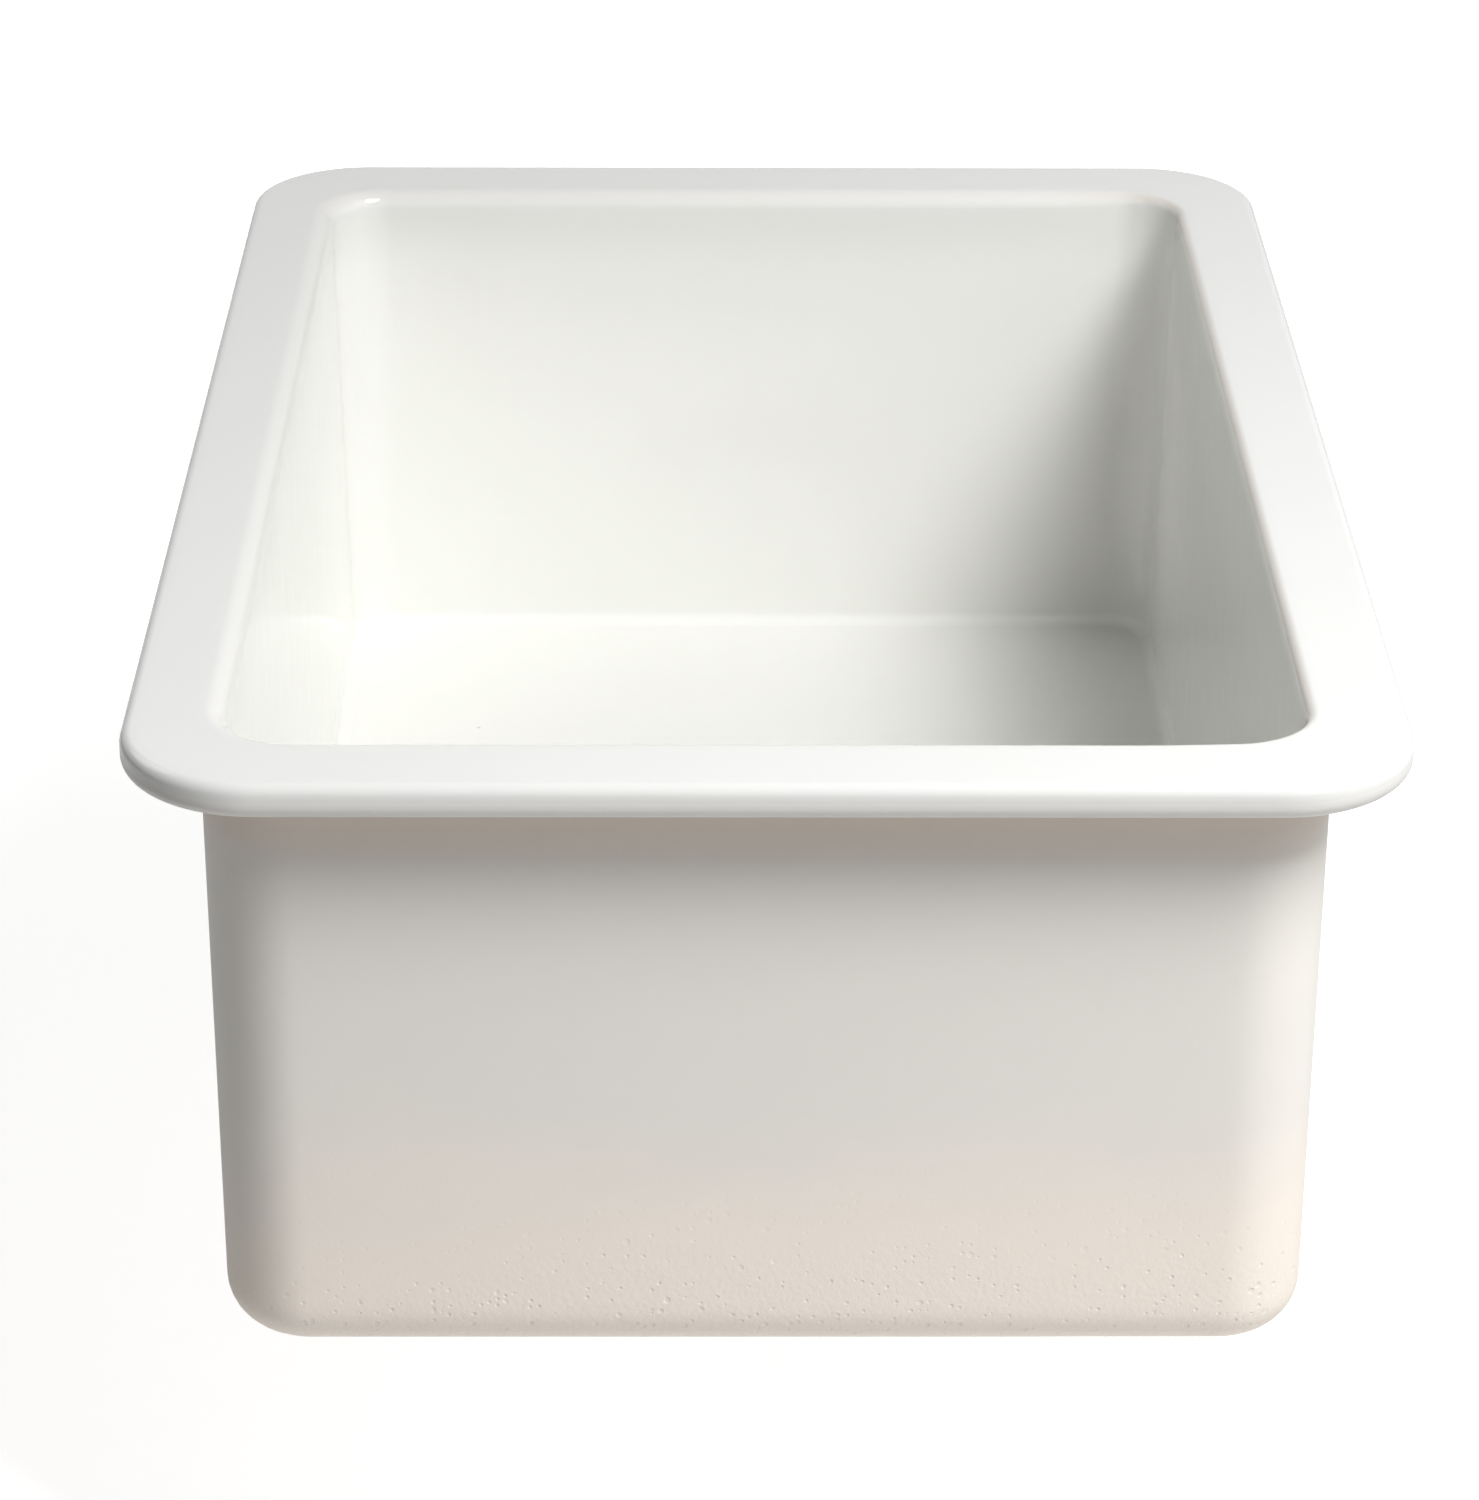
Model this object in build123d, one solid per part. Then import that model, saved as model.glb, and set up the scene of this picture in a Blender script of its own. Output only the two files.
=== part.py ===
from build123d import *
from math import atan2, cos, pi, radians, sin
import os

# Undermount fireclay sink with the basket strainer waste that its drain hole takes.
# Millimetres. The origin is the centre of the rim's top face, +Z is up,
# X runs across the bowl, Y along it, and the waste hangs on the Z axis.

# Rim of the bowl
rim_width = 463.5
rim_length = 679.5
rim_thickness = 13.7
rim_corner_radius = 51.0
rim_top_round = 4.3
rim_under_round = 5.4
rim_overhang = 27.2
neck_fillet = 8.0

# Outer body of the bowl
bowl_height = 251.0
body_corner_radius = 34.0
body_draft = 0.3
base_round = 20.0

# Basin inside the bowl
side_border = 36.75
end_border = 40.75
opening_corner_radius = 26.0
opening_roll = 8.0
basin_draft = 1.06
floor_round = 12.0
floor_fall = 8.0
floor_fall_inset = 1.0
floor_fall_corner = 13.0
base_thickness = 27.0

# Drain hole in the bowl
drain_hole_diameter = 92.0
drain_edge_chamfer = 1.5
seat_clearance = 1.5
seat_land = 5.0
ground_land_depth = 1.0
ground_land_margin = 3.0

# Strainer body: flange, funnel and threaded shank in one pressing
flange_overlap = 11.0
flange_thickness = 1.6
putty_thickness = 1.4
putty_inset = 0.5
strainer_wall = 1.8
shank_clearance = 2.0
funnel_rise = 1.0
funnel_depth = 5.0
funnel_edge = 1.0
cup_round = 6.0
thread_spare = 3.0
cross_arm_width = 5.0
cross_hub_diameter = 14.0
window_corner = 1.5

# What clamps the strainer under the base
gasket_margin = 1.0
gasket_thickness = 3.2
friction_washer_inset = 2.0
friction_washer_thickness = 1.2
washer_clearance = 0.3
locknut_wall = 6.0
locknut_flange_inset = 2.0
locknut_height = 14.0
locknut_flange_height = 4.0
locknut_lugs = 6
locknut_lug_width = 11.0
locknut_lug_reach = 5.0
locknut_lug_round = 1.6
locknut_edge = 1.5
thread_clearance = 0.15

# Outlet: nipple, washer, coupling nut and tailpiece
nipple_diameter = 47.5
nipple_wall = 3.5
nipple_length = 24.0
nipple_collar_width = 5.0
nipple_collar_height = 2.0
thread_lead = 0.8
tail_washer_thickness = 2.5
tailpiece_diameter = 38.1
tailpiece_wall = 1.3
tailpiece_length = 101.6
tailpiece_flange_thickness = 1.5
tailpiece_flare = 1.0
coupling_nut_wall = 3.75
coupling_nut_height = 20.0
coupling_nut_floor = 3.5
coupling_nut_ribs = 8
coupling_nut_rib_width = 8.0
coupling_nut_rib_reach = 3.0
coupling_nut_rib_round = 1.0
coupling_nut_edge = 2.0
coupling_nut_tube_gap = 1.1

# Basket
basket_sheet = 1.0
basket_clearance = 1.0
basket_lip_gap = 0.3
basket_lip_share = 0.85
basket_taper = 7.0
basket_bottom_round = 5.0
basket_shoulder_round = 1.2
wall_slots = 20
wall_slot_width = 3.0
wall_slot_length = 10.0
wall_slot_rows = 2
floor_hole_diameter = 3.6
floor_hole_pitch = 7.6
floor_hole_ring_pitch = 6.5
floor_hole_margin = 3.1

# Stem, its guide and what rides on it
stem_diameter = 6.0
stem_running_gap = 0.08
stem_collar_diameter = 11.0
stem_collar_height = 1.5
stem_tip_reach = 6.0
stem_spigot_diameter = 4.8
stem_spigot_length = 8.0
stem_tip_round = 1.5
stopper_lift = 8.0
lift_clearance = 0.6
stopper_overlap = 7.0
stopper_thickness = 5.0
stopper_bevel = 2.0
stopper_gap = 0.3
stopper_plate_thickness = 1.0
stopper_plate_margin = 6.0
ring_groove_depth = 0.8
ring_thickness = 0.8
ring_width = 2.6
ring_mouth = 4.0
bush_wall = 2.0
bush_flange_width = 3.0
bush_flange_thickness = 1.0
bush_height = 7.0
guide_nut_width = 14.0
guide_nut_height = 3.0
clip_height = 1.0
clip_wire = 0.8
clip_mouth = 3.0
knob_diameter = 20.0
knob_waist = 9.0
knob_base = 14.0
knob_height = 14.0
knob_base_round = 0.8
knob_waist_height = 5.6
knob_waist_round = 3.0
knob_shoulder_height = 10.1
knob_shoulder_round = 1.5
knob_crown = 0.6
knob_crown_inset = 0.5
knob_drop = 4.0

# Shared fits and edges
fit_gap = 0.05
fine_edge = 0.3
soft_edge = 0.5
cut_past = 1.0

# Plan sizes of the opening worked out from the rim
opening_width = rim_width - 2 * side_border
opening_length = rim_length - 2 * end_border

# Heights worked out from the sizes above, from the floor down
floor_low = base_thickness - bowl_height
floor_edge = floor_low + floor_fall
flange_top = floor_low
flange_under = flange_top - flange_thickness
seat_height = flange_under - putty_thickness
ground_land = ground_land_depth - bowl_height
gasket_under = ground_land - gasket_thickness
friction_under = gasket_under - friction_washer_thickness
locknut_under = friction_under - locknut_height
cup_under = locknut_under - thread_spare - cup_round - strainer_wall / 2
cup_floor = cup_under + strainer_wall
nipple_end = cup_under - nipple_length
tail_washer_under = nipple_end - tail_washer_thickness
tail_flange_under = tail_washer_under - tailpiece_flange_thickness
coupling_under = tail_flange_under - coupling_nut_floor
stopper_under = cup_floor + stopper_gap
stopper_top = stopper_under + stopper_thickness
plate_top = stopper_top + stopper_plate_thickness
collar_top = plate_top + stem_collar_height
bush_under = collar_top + stopper_lift + lift_clearance
basket_under = bush_under + bush_flange_thickness
basket_floor = basket_under + basket_sheet
bush_top = basket_floor + bush_height
knob_top = flange_top - knob_drop
knob_under = knob_top - knob_height

# Radii worked out from the sizes above
hole_radius = drain_hole_diameter / 2
flange_radius = hole_radius + flange_overlap
seat_radius = flange_radius + seat_clearance
gasket_radius = flange_radius + gasket_margin
friction_washer_radius = gasket_radius - friction_washer_inset
locknut_flange_radius = friction_washer_radius - locknut_flange_inset
shank_radius = hole_radius - shank_clearance
cup_radius = shank_radius - strainer_wall
funnel_radius = hole_radius + funnel_rise
locknut_radius = shank_radius + locknut_wall
locknut_reach = locknut_radius + locknut_lug_reach
nipple_radius = nipple_diameter / 2
coupling_nut_radius = nipple_radius + coupling_nut_wall
outlet_radius = nipple_radius - nipple_wall
tail_radius = tailpiece_diameter / 2
basket_radius = cup_radius - basket_clearance
basket_foot = basket_radius - basket_taper
stem_radius = stem_diameter / 2
guide_radius = stem_radius + stem_running_gap
bush_radius = guide_radius + bush_wall
stopper_radius = outlet_radius + stopper_overlap
ring_radius = stem_radius - ring_groove_depth + ring_width
guide_nut_reach = guide_nut_width / 2 / cos(radians(30))
first_ring_radius = guide_nut_reach + floor_hole_margin + floor_hole_diameter / 2
last_ring_radius = basket_foot - basket_bottom_round - floor_hole_diameter / 2

# The funnel's slope, and how far a parallel surface moves along each axis per millimetre
funnel_angle = atan2(funnel_depth, funnel_radius - cup_radius)
step_in = sin(funnel_angle)
step_up = cos(funnel_angle)


def turned(*outline):
    """Solid turned about the drain's axis from (radius, height, rounding) points."""
    corners = [(radius, height) for radius, height, _ in outline]
    rounds = [rounding for _, _, rounding in outline]
    section = make_face(FilletPolyline(*corners, radius=rounds, close=True))
    return revolve(Plane.XZ * section, Axis.Z)


def ring(inner, outer, low, high):
    """Flat ring about the drain's axis."""
    return turned((inner, low, 0), (outer, low, 0), (outer, high, 0), (inner, high, 0))


def disc(radius, low, high, low_edge, high_edge):
    """Disc about the drain's axis, with its two rims rounded."""
    return turned((0, low, 0), (radius, low, low_edge), (radius, high, high_edge), (0, high, 0))


def drafted(width, length, corner, height, depth, draft):
    """Rounded rectangle at a height, carried down and drawn in by the draft."""
    outline = Plane.XY.offset(height) * RectangleRounded(width, length, corner)
    return extrude(outline, depth, dir=(0, 0, -1), taper=draft)


def flat_face_at(solid, height):
    """The largest level face of a solid at a height."""
    level = solid.faces().filter_by(GeomType.PLANE).filter_by_position(Axis.Z, height - 0.01, height + 0.01)
    return level.sort_by(SortBy.AREA)[-1]


def inner_edges(face):
    """Edges round the openings of a face."""
    return ShapeList(edge for wire in face.inner_wires() for edge in wire.edges())


def basin_space():
    """What the basin leaves free: drawn-in walls, rounded floor edge and fall to the drain."""
    depth = -floor_edge
    walls = drafted(opening_width, opening_length, opening_corner_radius, 0, depth, basin_draft)
    walls = fillet(flat_face_at(walls, floor_edge).edges(), floor_round)
    floor = flat_face_at(walls, floor_edge).bounding_box()
    width = floor.size.X - 2 * floor_fall_inset
    length = floor.size.Y - 2 * floor_fall_inset
    dish_top = Plane.XY.offset(floor_edge) * RectangleRounded(width, length, floor_fall_corner)
    dish_foot = Plane.XY.offset(floor_low) * Circle(seat_radius + seat_land)
    return walls + loft([dish_top.face(), dish_foot.face()], ruled=True)


def drain_space():
    """Seat for the flange, the hole through the base and the land ground flat for the gasket."""
    edge = hole_radius + drain_edge_chamfer
    land_radius = gasket_radius + ground_land_margin
    return turned(
        (0, floor_edge, 0),
        (seat_radius, floor_edge, 0),
        (seat_radius, seat_height, 0),
        (edge, seat_height, 0),
        (hole_radius, seat_height - drain_edge_chamfer, 0),
        (hole_radius, ground_land + drain_edge_chamfer, 0),
        (edge, ground_land, 0),
        (land_radius, ground_land, 0),
        (land_radius, -bowl_height - cut_past, 0),
        (0, -bowl_height - cut_past, 0),
    )


def sink_bowl():
    """One fireclay casting: flat rim, drawn-in body, basin and drain hole."""
    rim = extrude(RectangleRounded(rim_width, rim_length, rim_corner_radius), -rim_thickness)
    rim = fillet(flat_face_at(rim, 0).edges(), rim_top_round)
    rim = fillet(flat_face_at(rim, -rim_thickness).edges(), rim_under_round)
    body_width = rim_width - 2 * rim_overhang
    body_length = rim_length - 2 * rim_overhang
    body = drafted(body_width, body_length, body_corner_radius, 0, bowl_height, body_draft)
    body = fillet(flat_face_at(body, -bowl_height).edges(), base_round)
    bowl = rim + body
    bowl = fillet(inner_edges(flat_face_at(bowl, -rim_thickness)), neck_fillet)
    bowl = bowl - basin_space()
    bowl = fillet(inner_edges(flat_face_at(bowl, 0)), opening_roll)
    return bowl - drain_space()


def strainer_body():
    """Pressed cup with its flange, funnel, threaded shank and the cross in its floor."""
    outer_run = strainer_wall * step_in
    outer_drop = strainer_wall * step_up
    slope = funnel_depth / (funnel_radius - cup_radius)
    under_radius = funnel_radius + outer_run - (flange_thickness - outer_drop) / slope
    shank_top = flange_top - outer_drop - (funnel_radius + outer_run - shank_radius) * slope
    cup = turned(
        (0, cup_floor, 0),
        (cup_radius, cup_floor, cup_round),
        (cup_radius, flange_top - funnel_depth, funnel_edge),
        (funnel_radius, flange_top, funnel_edge),
        (flange_radius, flange_top, flange_thickness / 2),
        (flange_radius, flange_under, 0),
        (under_radius, flange_under, 0),
        (shank_radius, shank_top, 0),
        (shank_radius, cup_under, cup_round + strainer_wall / 2),
        (0, cup_under, 0),
    )
    arm = Rectangle(2 * (outlet_radius + cut_past), cross_arm_width)
    windows = Circle(outlet_radius) - arm - arm.rotate(Axis.Z, 90) - Circle(cross_hub_diameter / 2)
    windows = fillet(windows.vertices(), window_corner)
    hub_hole = Circle(guide_radius)
    openings = Plane.XY.offset(cup_under - cut_past) * (windows + hub_hole)
    return cup - extrude(openings, strainer_wall + 2 * cut_past)


def locknut():
    """Cast nut with a bearing flange and lugs for the spanner."""
    bore = shank_radius + thread_clearance
    barrel = Circle(locknut_radius)
    lug = Rectangle(2 * locknut_reach, locknut_lug_width)
    for index in range(locknut_lugs // 2):
        barrel += lug.rotate(Axis.Z, 360 / locknut_lugs * index)
    barrel = fillet(barrel.vertices(), locknut_lug_round)
    high = friction_under
    lugged = extrude(Plane.XY.offset(locknut_under) * barrel, locknut_height - locknut_flange_height)
    flange_low = high - locknut_flange_height
    flange = disc(locknut_flange_radius, flange_low, high, 0, 0)
    envelope = disc(locknut_reach, locknut_under, high, locknut_edge, 0)
    outside = (lugged & envelope) + flange
    return outside - Pos(0, 0, locknut_under) * Cylinder(bore, 3 * locknut_height)


def outlet_nipple():
    """Threaded outlet, with the collar that is brazed to the cup's floor."""
    collar_radius = nipple_radius + nipple_collar_width
    return turned(
        (outlet_radius, cup_under, 0),
        (collar_radius, cup_under, 0),
        (collar_radius, cup_under - nipple_collar_height, 0),
        (nipple_radius, cup_under - nipple_collar_height, 0),
        (nipple_radius, nipple_end + thread_lead, 0),
        (nipple_radius - thread_lead, nipple_end, 0),
        (outlet_radius, nipple_end, 0),
    )


def coupling_nut():
    """Ribbed nut that draws the tailpiece's flange against the nipple."""
    bore = nipple_radius + thread_clearance
    reach = coupling_nut_radius + coupling_nut_rib_reach
    high = coupling_under + coupling_nut_height
    outline = Circle(coupling_nut_radius)
    rib = Rectangle(2 * reach, coupling_nut_rib_width)
    for index in range(coupling_nut_ribs // 2):
        outline += rib.rotate(Axis.Z, 360 / coupling_nut_ribs * index)
    outline = fillet(outline.vertices(), coupling_nut_rib_round)
    ribbed = extrude(Plane.XY.offset(coupling_under) * outline, coupling_nut_height)
    envelope = disc(reach, coupling_under, high, coupling_nut_edge, coupling_nut_edge)
    tail_hole = tail_radius + coupling_nut_tube_gap
    hollow = turned(
        (0, coupling_under - cut_past, 0),
        (tail_hole, coupling_under - cut_past, 0),
        (tail_hole, tail_flange_under, 0),
        (bore, tail_flange_under, 0),
        (bore, high + cut_past, 0),
        (0, high + cut_past, 0),
    )
    return (ribbed & envelope) - hollow


def tailpiece():
    """Flanged tube that runs on to the trap."""
    tube_bore = tail_radius - tailpiece_wall
    tail_end = tail_washer_under - tailpiece_length
    return turned(
        (tube_bore, tail_end, 0),
        (tail_radius, tail_end, 0),
        (tail_radius, tail_flange_under, 0),
        (nipple_radius - thread_clearance, tail_flange_under, 0),
        (nipple_radius - thread_clearance, tail_washer_under, 0),
        (tube_bore, tail_washer_under, tailpiece_flare),
    )


def funnel_point(share, lift):
    """Point on the funnel, at a share of its slope from the top, lifted square to it."""
    radius = funnel_radius - share * (funnel_radius - cup_radius) - lift * step_in
    return radius, flange_top - share * funnel_depth + lift * step_up


def basket_shell():
    """Pressed basket: a lip on the funnel's slope, a drawn-in wall and a flat floor."""
    slope = funnel_depth / (funnel_radius - cup_radius)
    outer = funnel_point(1 - basket_lip_share, basket_lip_gap)
    outer_top = funnel_point(1 - basket_lip_share, basket_lip_gap + basket_sheet)
    inner_radius = basket_radius - basket_sheet
    shoulder = outer[1] - (outer[0] - basket_radius) * slope
    inner_shoulder = outer_top[1] - (outer_top[0] - inner_radius) * slope
    return turned(
        (*outer, 0),
        (*outer_top, 0),
        (inner_radius, inner_shoulder, basket_shoulder_round),
        (basket_foot - basket_sheet, basket_floor, basket_bottom_round - basket_sheet),
        (bush_radius + fit_gap, basket_floor, 0),
        (bush_radius + fit_gap, basket_under, 0),
        (basket_foot, basket_under, basket_bottom_round),
        (basket_radius, shoulder, basket_shoulder_round),
    )


def basket():
    """Basket with two rows of slots in its wall and rings of holes in its floor."""
    shell = basket_shell()
    slot_zone = flange_top - funnel_depth - basket_floor - basket_bottom_round
    slot = SlotOverall(wall_slot_length, wall_slot_width, rotation=90)
    cuts = []
    for row in range(wall_slot_rows):
        height = basket_floor + basket_bottom_round + slot_zone * (row + 0.5) / wall_slot_rows
        for index in range(wall_slots):
            turn = 360 / wall_slots * (index + row / 2)
            face = Rot(0, 0, turn) * (Plane.YZ.offset(basket_foot / 2) * Pos(0, height) * slot)
            cuts.append(extrude(face, basket_radius))
    rings = int((last_ring_radius - first_ring_radius) / floor_hole_ring_pitch) + 1
    for index in range(rings):
        radius = first_ring_radius + index * floor_hole_ring_pitch
        count = int(2 * pi * radius / floor_hole_pitch)
        for place in PolarLocations(radius, count):
            drill = Cylinder(floor_hole_diameter / 2, 3 * basket_sheet)
            cuts.append(Pos(0, 0, basket_floor) * place * drill)
    return shell - cuts


def guide_bush():
    """Flanged bush that guides the stem, with a groove for the grip clip."""
    groove_radius = guide_radius + clip_wire
    groove_low = basket_floor + (bush_height - clip_height) / 2
    return turned(
        (guide_radius, bush_under, 0),
        (bush_radius + bush_flange_width, bush_under, 0),
        (bush_radius + bush_flange_width, basket_under, 0),
        (bush_radius, basket_under, 0),
        (bush_radius, bush_top, fine_edge),
        (guide_radius, bush_top, 0),
        (guide_radius, groove_low + clip_height + fit_gap, 0),
        (groove_radius + fit_gap, groove_low + clip_height + fit_gap, 0),
        (groove_radius + fit_gap, groove_low, 0),
        (guide_radius, groove_low, 0),
    )


def open_ring(inner, outer, mouth, low, height):
    """Flat spring ring with a mouth cut out of one side."""
    outline = Circle(outer) - Circle(inner) - Pos(outer, 0) * Rectangle(2 * outer, mouth)
    return extrude(Plane.XY.offset(low) * outline, height)


def grip_clip():
    """Spring clip in the bush that holds the stem where it is put."""
    low = basket_floor + (bush_height - clip_height) / 2
    inner = stem_radius + stem_running_gap / 2
    return open_ring(inner, guide_radius + clip_wire, clip_mouth, low, clip_height)


def guide_nut():
    """Thin hexagon nut that clamps the bush to the basket."""
    outline = RegularPolygon(guide_nut_width / 2, 6, major_radius=False) - Circle(bush_radius + fit_gap)
    return extrude(Plane.XY.offset(basket_floor) * outline, guide_nut_height)


def ring_low():
    """Height of the retaining ring, which sits in the stopper's recess."""
    return stopper_under + ring_thickness


def stem():
    """Turned stem with a collar over the stopper, a ring groove and a spigot for the knob."""
    groove = stem_radius - ring_groove_depth
    tip = cup_under - stem_tip_reach
    spigot_radius = stem_spigot_diameter / 2
    collar_radius = stem_collar_diameter / 2
    return turned(
        (0, tip, 0),
        (stem_radius, tip, stem_tip_round),
        (stem_radius, ring_low() - fit_gap, 0),
        (groove, ring_low() - fit_gap, 0),
        (groove, ring_low() + ring_thickness, 0),
        (stem_radius, ring_low() + ring_thickness, 0),
        (stem_radius, plate_top, 0),
        (collar_radius, plate_top, 0),
        (collar_radius, collar_top, fine_edge),
        (stem_radius, collar_top, 0),
        (stem_radius, knob_under, 0),
        (spigot_radius, knob_under, 0),
        (spigot_radius, knob_under + stem_spigot_length, 0),
        (0, knob_under + stem_spigot_length, 0),
    )


def retaining_ring():
    """Spring ring in the stem's groove that keeps the stopper up against its plate."""
    inner = stem_radius - ring_groove_depth + fit_gap
    return open_ring(inner, ring_radius, ring_mouth, ring_low(), ring_thickness)


def stopper():
    """Rubber disc that closes the outlet, with a recess for the retaining ring."""
    bore = stem_radius + fit_gap
    recess = ring_radius + fit_gap
    recess_top = ring_low() + ring_thickness
    return turned(
        (bore, recess_top, 0),
        (recess, recess_top, 0),
        (recess, stopper_under, 0),
        (stopper_radius - stopper_bevel / 2, stopper_under, 0),
        (stopper_radius, stopper_under + stopper_bevel / 2, 0),
        (stopper_radius, stopper_top - stopper_bevel, 0),
        (stopper_radius - stopper_bevel, stopper_top, 0),
        (bore, stopper_top, 0),
    )


def lift_knob():
    """Turned knob with a waist for the fingers and a blind hole for the stem's spigot."""
    hole = stem_spigot_diameter / 2 + fit_gap
    hole_top = knob_under + stem_spigot_length + fit_gap
    return turned(
        (0, hole_top, 0),
        (hole, hole_top, 0),
        (hole, knob_under, 0),
        (knob_base / 2, knob_under, knob_base_round),
        (knob_waist / 2, knob_under + knob_waist_height, knob_waist_round),
        (knob_diameter / 2, knob_under + knob_shoulder_height, knob_shoulder_round),
        (knob_diameter / 2 - knob_crown_inset, knob_top - knob_crown, soft_edge),
        (0, knob_top, 0),
    )


def flange_putty():
    """Bed of putty squeezed flat between the flange and its seat."""
    inner = hole_radius + drain_edge_chamfer + putty_inset
    return ring(inner, flange_radius - putty_inset, seat_height, flange_under)


def base_gasket():
    """Rubber ring that seals the shank to the ground land under the base."""
    return ring(shank_radius + washer_clearance, gasket_radius, gasket_under, ground_land)


def friction_washer():
    """Fibre ring on which the locknut turns, so that the rubber stays still."""
    return ring(shank_radius + washer_clearance, friction_washer_radius, friction_under, gasket_under)


def tailpiece_washer():
    """Sealing washer between the nipple's end and the tailpiece's flange."""
    return ring(tail_radius, nipple_radius - washer_clearance, tail_washer_under, nipple_end)


def stopper_plate():
    """Steel plate that backs the rubber stopper."""
    outer = stopper_radius - stopper_plate_margin
    return ring(stem_radius + fit_gap, outer, stopper_top, plate_top)


solids = {
    "sink_bowl": sink_bowl(),
    "flange_putty": flange_putty(),
    "strainer_body": strainer_body(),
    "base_gasket": base_gasket(),
    "friction_washer": friction_washer(),
    "locknut": locknut(),
    "outlet_nipple": outlet_nipple(),
    "tailpiece_washer": tailpiece_washer(),
    "coupling_nut": coupling_nut(),
    "tailpiece": tailpiece(),
    "basket": basket(),
    "guide_bush": guide_bush(),
    "guide_nut": guide_nut(),
    "grip_clip": grip_clip(),
    "stem": stem(),
    "lift_knob": lift_knob(),
    "stopper_plate": stopper_plate(),
    "stopper": stopper(),
    "retaining_ring": retaining_ring(),
}

os.makedirs("parts", exist_ok=True)
for name, solid in solids.items():
    export_step(solid, f"parts/{name}.step")
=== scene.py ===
"""Looks of the undermount fireclay sink and its basket strainer waste, built round the fixed frame.

Everything is in metres in the frame's own axes: the origin is the centre of the rim's top face,
Z is up, X runs across the bowl and Y along it, and the waste hangs on the Z axis. The sizes of the
bowl and of the screw threads are written in millimetres.
"""

import logging
from dataclasses import dataclass
from enum import Enum
from math import cos, pi, radians, sin, tan
from typing import Optional, Union

import bpy
import numpy as np
from mathutils import Matrix, Vector


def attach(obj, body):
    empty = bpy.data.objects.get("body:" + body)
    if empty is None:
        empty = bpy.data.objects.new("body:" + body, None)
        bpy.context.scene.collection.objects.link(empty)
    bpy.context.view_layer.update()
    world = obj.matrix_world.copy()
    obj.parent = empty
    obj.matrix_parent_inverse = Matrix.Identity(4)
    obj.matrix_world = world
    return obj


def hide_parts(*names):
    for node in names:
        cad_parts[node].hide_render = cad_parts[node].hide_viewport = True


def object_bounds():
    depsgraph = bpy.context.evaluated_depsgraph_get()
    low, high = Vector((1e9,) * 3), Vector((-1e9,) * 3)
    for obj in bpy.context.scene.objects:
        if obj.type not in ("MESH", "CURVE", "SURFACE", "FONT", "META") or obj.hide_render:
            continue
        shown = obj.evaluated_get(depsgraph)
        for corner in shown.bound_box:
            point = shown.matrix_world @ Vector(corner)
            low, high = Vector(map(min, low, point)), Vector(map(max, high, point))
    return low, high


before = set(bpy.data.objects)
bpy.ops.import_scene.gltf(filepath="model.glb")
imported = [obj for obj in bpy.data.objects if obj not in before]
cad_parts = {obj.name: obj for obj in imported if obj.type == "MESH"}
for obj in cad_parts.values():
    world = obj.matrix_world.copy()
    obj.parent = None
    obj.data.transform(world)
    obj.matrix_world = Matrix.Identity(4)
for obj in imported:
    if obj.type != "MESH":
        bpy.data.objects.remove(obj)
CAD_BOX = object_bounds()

log = logging.getLogger("sink")

MM = 0.001
WHITE = (1.0, 1.0, 1.0, 1.0)

# The columns of the bowl's section.
HALF, HEIGHT, CENTRE_X, CENTRE_Y, CIRCLE, GLAZED, CREST, STEPS = range(8)

# The places of a mix node's two values and of its result among its sockets, for each kind of value.
MIX_SOCKETS = {"FLOAT": (2, 3, 0), "RGBA": (6, 7, 2)}

Colour = tuple[float, float, float]
Band = tuple[float, float]
Socket = bpy.types.NodeSocket
Value = Union[Socket, float, int, tuple]


def opaque(colour: Colour) -> tuple[float, float, float, float]:
    """Add full opacity to a colour."""
    return (*colour, 1.0)


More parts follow.
